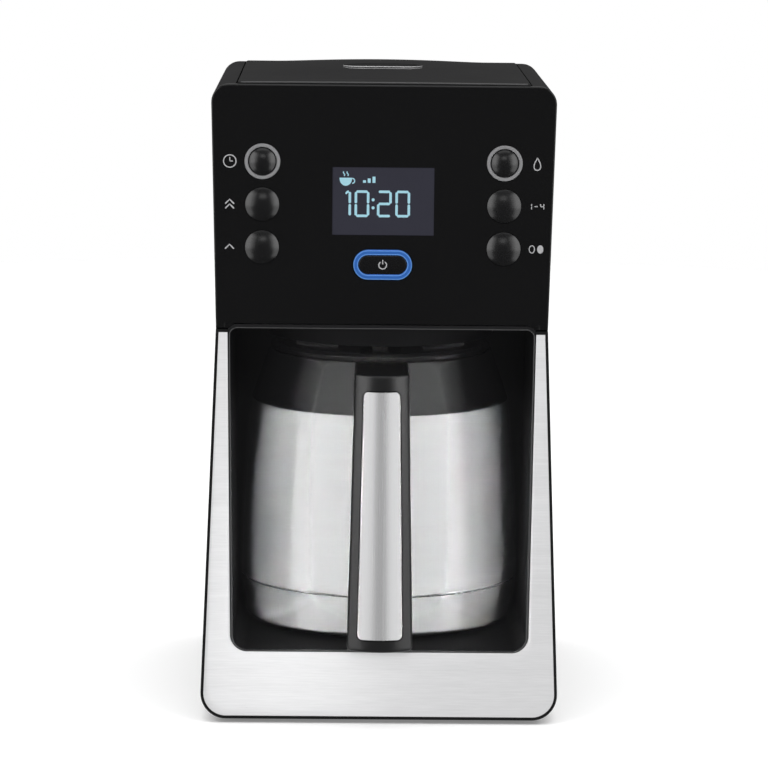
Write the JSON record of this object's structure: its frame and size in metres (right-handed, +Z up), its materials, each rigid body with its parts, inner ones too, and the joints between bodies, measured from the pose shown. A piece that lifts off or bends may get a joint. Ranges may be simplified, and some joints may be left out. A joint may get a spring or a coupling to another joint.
{
  "type": "drip coffee maker",
  "caption": "Drip coffee maker with a waisted black body, steel front trim, raked bay, control panel with display and buttons, hinged lid and a thermal carafe with a handle.",
  "frame": {"origin": "on the table under the middle of the machine's box", "axes": "+Z up, front towards -Y, +X to the viewer's right"},
  "size_m": [0.197, 0.2482, 0.3563],
  "materials": {
    "gloss_black": "gloss",
    "satin_black": "satin",
    "liner_black": "satin",
    "brushed_steel": "brushed",
    "steel": "plain",
    "collar_black": "gloss",
    "grey_ring": "satin",
    "blue_light": "lit",
    "lens": "clear",
    "display": "lit",
    "board": "lacquer",
    "component": "moulded",
    "clear_tank": "translucent",
    "silicone": "soft",
    "rubber": "matte",
    "aluminium": "cast",
    "mesh_gold": "fine mesh",
    "white_plastic": "moulded"
  },
  "bodies": {
    "machine": {"base_pan": "satin_black", "base_screws": "steel", "basket_holder": "liner_black", "bay_liner": "liner_black", "board_screws": "steel", "brew_ring": "blue_light", "carafe_pad": "liner_black", "check_valve": "white_plastic", "control_board": "board", "control_panel": "gloss_black", "cord_gland": "satin_black", "display_lens": "lens", "display_module": "display", "drip_spring": "steel", "filter_basket": "liner_black", "flow_heater": "aluminium", "front_trim": "brushed_steel", "heater_clamps": "steel", "hinge_pins": "steel", "housing": "satin_black", "indicator_rings": "grey_ring", "inlet_hose": "silicone", "outlet_hose": "silicone", "permanent_filter": "mesh_gold", "power_board": "board", "riser_seal": "silicone", "riser_tube": "white_plastic", "rubber_feet": "rubber", "tact_switches": "component", "thermal_fuses": "component", "thermostat": "component", "top_deck": "liner_black", "trim_carrier": "satin_black", "water_filter_holder": "white_plastic", "water_reservoir": "clear_tank"},
    "lid": {"lid": "satin_black", "lid_liner": "liner_black", "spray_head": "liner_black"},
    "drip_valve": {"drip_valve": "white_plastic", "drip_seal": "silicone"},
    "carafe": {"carafe_body": "brushed_steel", "carafe_base_cup": "brushed_steel", "carafe_flask": "steel", "carafe_foot": "rubber", "carafe_collar": "collar_black", "mouth_seal": "silicone", "carafe_handle": "collar_black", "handle_inlay": "brushed_steel", "handle_screws": "steel"},
    "carafe_lid": {"carafe_lid": "collar_black", "lid_gasket": "silicone", "brew_valve_spring": "steel"},
    "brew_valve": {"brew_valve": "white_plastic"},
    "program_button": {"program_button": "gloss_black"},
    "hour_button": {"hour_button": "gloss_black"},
    "minute_button": {"minute_button": "gloss_black"},
    "clean_button": {"clean_button": "gloss_black"},
    "small_batch_button": {"small_batch_button": "gloss_black"},
    "strength_button": {"strength_button": "gloss_black"},
    "brew_button": {"brew_button": "gloss_black"}
  },
  "joints": [
    {"name": "lid_hinge", "type": "hinge", "parent": "machine", "child": "lid", "pos_m": [0, 0.10812, 0.346], "axis": [-1, 0, 0], "range_deg": [0, 95]},
    {"name": "carafe_slide", "type": "slide", "parent": "machine", "child": "carafe", "axis": [0, -1, 0], "range_m": [0, 0.2]},
    {"name": "drip_valve_slide", "type": "slide", "parent": "machine", "child": "drip_valve", "axis": [0, 0, -1], "range_m": [0, 0.003], "deforming": ["drip_spring"]},
    {"name": "carafe_lid_twist", "type": "hinge", "parent": "carafe", "child": "carafe_lid", "pos_m": [0, 0.00013, 0.1963], "axis": [0, 0, 1], "range_deg": [0, 40]},
    {"name": "brew_valve_slide", "type": "slide", "parent": "carafe_lid", "child": "brew_valve", "axis": [0, 0, -1], "range_m": [0, 0.003], "stiffness_N_per_m": 60, "springref_m": -0.002, "deforming": ["brew_valve_spring"]},
    {"name": "program_button_press", "type": "slide", "parent": "machine", "child": "program_button", "axis": [0, 1, 0], "range_m": [0, 0.0015], "stiffness_N_per_m": 300},
    {"name": "hour_button_press", "type": "slide", "parent": "machine", "child": "hour_button", "axis": [0, 1, 0], "range_m": [0, 0.0015], "stiffness_N_per_m": 300},
    {"name": "minute_button_press", "type": "slide", "parent": "machine", "child": "minute_button", "axis": [0, 1, 0], "range_m": [0, 0.0015], "stiffness_N_per_m": 300},
    {"name": "clean_button_press", "type": "slide", "parent": "machine", "child": "clean_button", "axis": [0, 1, 0], "range_m": [0, 0.0015], "stiffness_N_per_m": 300},
    {"name": "small_batch_button_press", "type": "slide", "parent": "machine", "child": "small_batch_button", "axis": [0, 1, 0], "range_m": [0, 0.0015], "stiffness_N_per_m": 300},
    {"name": "strength_button_press", "type": "slide", "parent": "machine", "child": "strength_button", "axis": [0, 1, 0], "range_m": [0, 0.0015], "stiffness_N_per_m": 300},
    {"name": "brew_button_press", "type": "slide", "parent": "machine", "child": "brew_button", "axis": [0, 1, 0], "range_m": [0, 0.0015], "stiffness_N_per_m": 300}
  ],
  "couplings": [
    {"joint": "drip_valve_slide", "follows": "carafe_slide", "ratio": 0.015}
  ]
}
